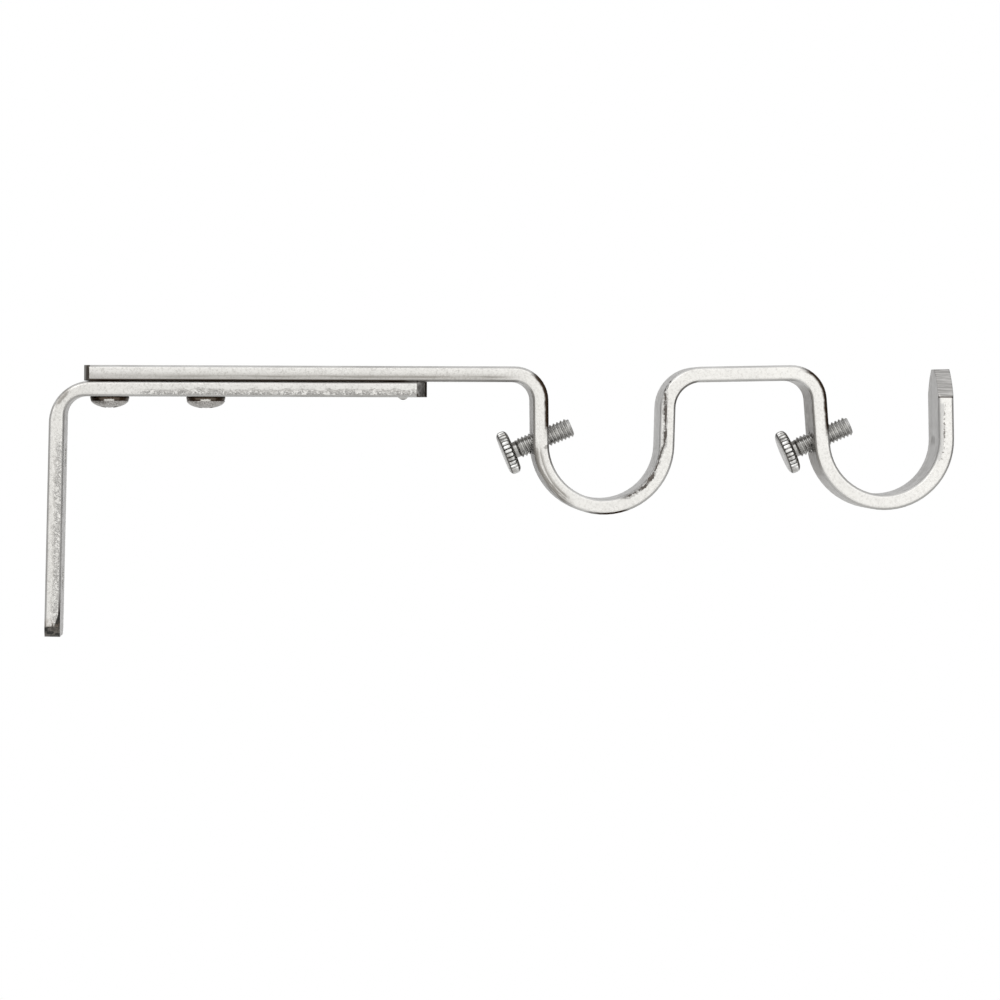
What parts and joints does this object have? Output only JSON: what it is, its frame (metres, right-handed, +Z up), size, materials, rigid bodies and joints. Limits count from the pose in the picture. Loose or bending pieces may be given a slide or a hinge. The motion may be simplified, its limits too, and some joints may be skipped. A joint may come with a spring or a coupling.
{
  "type": "adjustable double curtain pole bracket",
  "caption": "Wall bracket of bent flat steel bar whose upper bar slides out on a slotted lower bar and holds curtain poles in open cradles with knurled clamp screws.",
  "frame": {"origin": "centre of the two wall screw holes, on the back face of the leg", "axes": "+X out from the wall, +Y along the curtain poles, +Z up"},
  "size_m": [0.1869, 0.0158, 0.0596],
  "materials": {
    "nickel_plated_bar": "satin nickel plating over sheared and bent steel bar",
    "machine_screw": "bright zinc plating",
    "thumb_screw": "bright zinc plating, knurled"
  },
  "bodies": {
    "wall_bracket": {"wall_bracket": "nickel_plated_bar"},
    "cradle_arm": {"cradle_arm": "nickel_plated_bar"},
    "adjusting_screw_inner": {"adjusting_screw_inner": "machine_screw"},
    "adjusting_screw_outer": {"adjusting_screw_outer": "machine_screw"},
    "thumb_screw_rear": {"thumb_screw_rear": "thumb_screw"},
    "thumb_screw_front": {"thumb_screw_front": "thumb_screw"}
  },
  "joints": [
    {"name": "arm_slide", "type": "slide", "parent": "wall_bracket", "child": "cradle_arm", "axis": [0.9998, 0, 0.0209], "range_m": [0, 0.035]},
    {"name": "adjusting_turn_inner", "type": "hinge", "parent": "cradle_arm", "child": "adjusting_screw_inner", "pos_m": [0.012, 0, 0.02825], "axis": [-0.0209, 0, 0.9998], "range_deg": [0, 360]},
    {"name": "adjusting_turn_outer", "type": "hinge", "parent": "cradle_arm", "child": "adjusting_screw_outer", "pos_m": [0.03184, 0, 0.02867], "axis": [-0.0209, 0, 0.9998], "range_deg": [0, 360]},
    {"name": "thumb_travel_rear", "type": "slide", "parent": "cradle_arm", "child": "thumb_screw_rear", "axis": [0.9164, 0, 0.4003], "range_m": [-0.005, 0.002]},
    {"name": "thumb_travel_front", "type": "slide", "parent": "cradle_arm", "child": "thumb_screw_front", "axis": [0.91, 0, 0.4147], "range_m": [-0.005, 0.002]}
  ]
}
